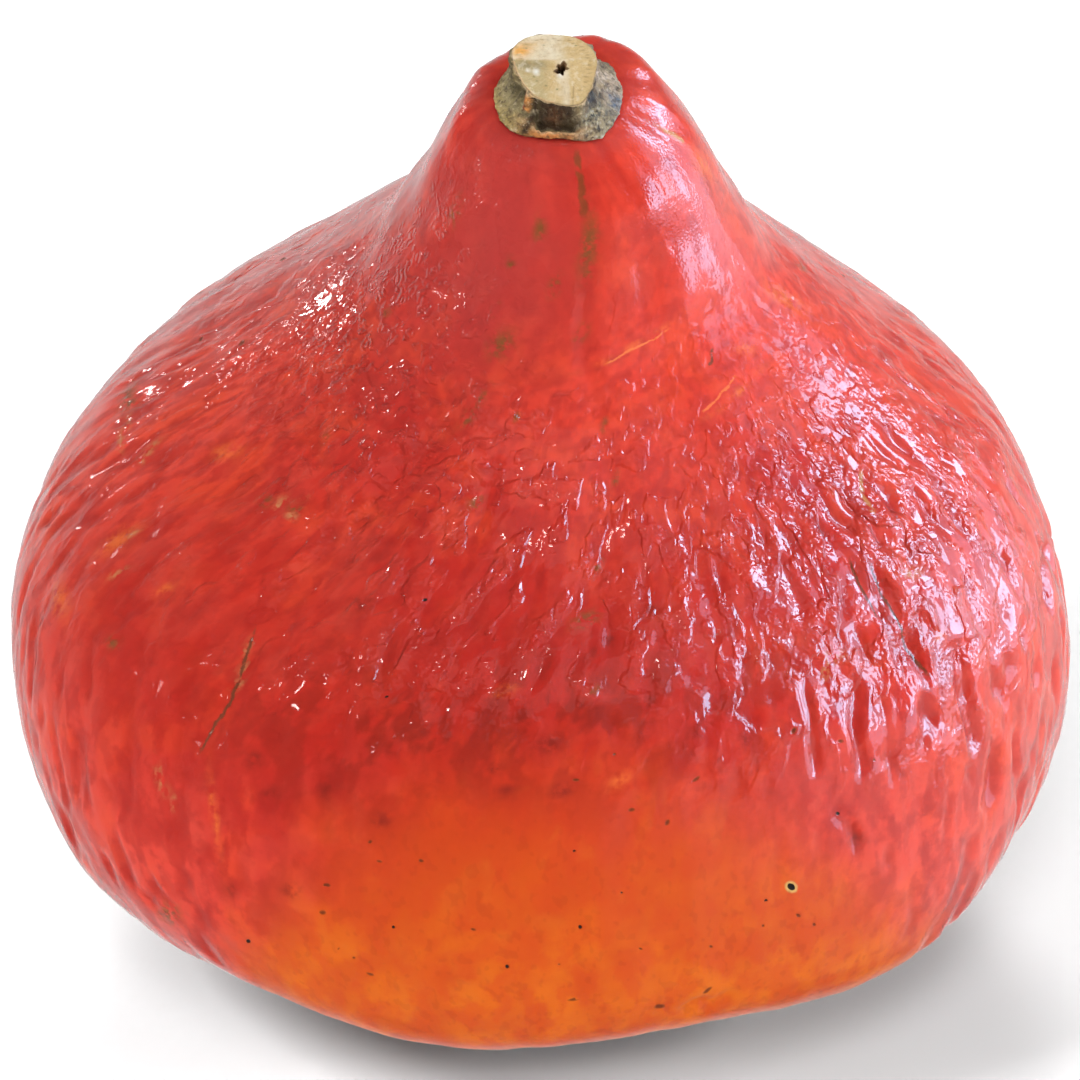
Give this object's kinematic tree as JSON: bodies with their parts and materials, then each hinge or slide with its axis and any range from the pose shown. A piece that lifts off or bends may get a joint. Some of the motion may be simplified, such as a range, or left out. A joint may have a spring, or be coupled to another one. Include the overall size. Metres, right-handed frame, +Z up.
{
  "type": "red kuri squash",
  "caption": "Round-bellied winter squash with a tapering neck, waxy orange-red skin and a short cut stem stub, standing on its blossom end.",
  "frame": {"origin": "bottom centre of the bounding box, in the plane the squash rests on", "axes": "+Z up from the blossom end to the stem; -Y is the front, the side the neck and the stem lean towards; +X is to the right when the front is seen"},
  "size_m": [0.1652, 0.1707, 0.1552],
  "materials": {
    "skin": "satin",
    "stem": "matte"
  },
  "bodies": {
    "root": {"fruit": "skin", "stem": "stem"}
  },
  "joints": []
}
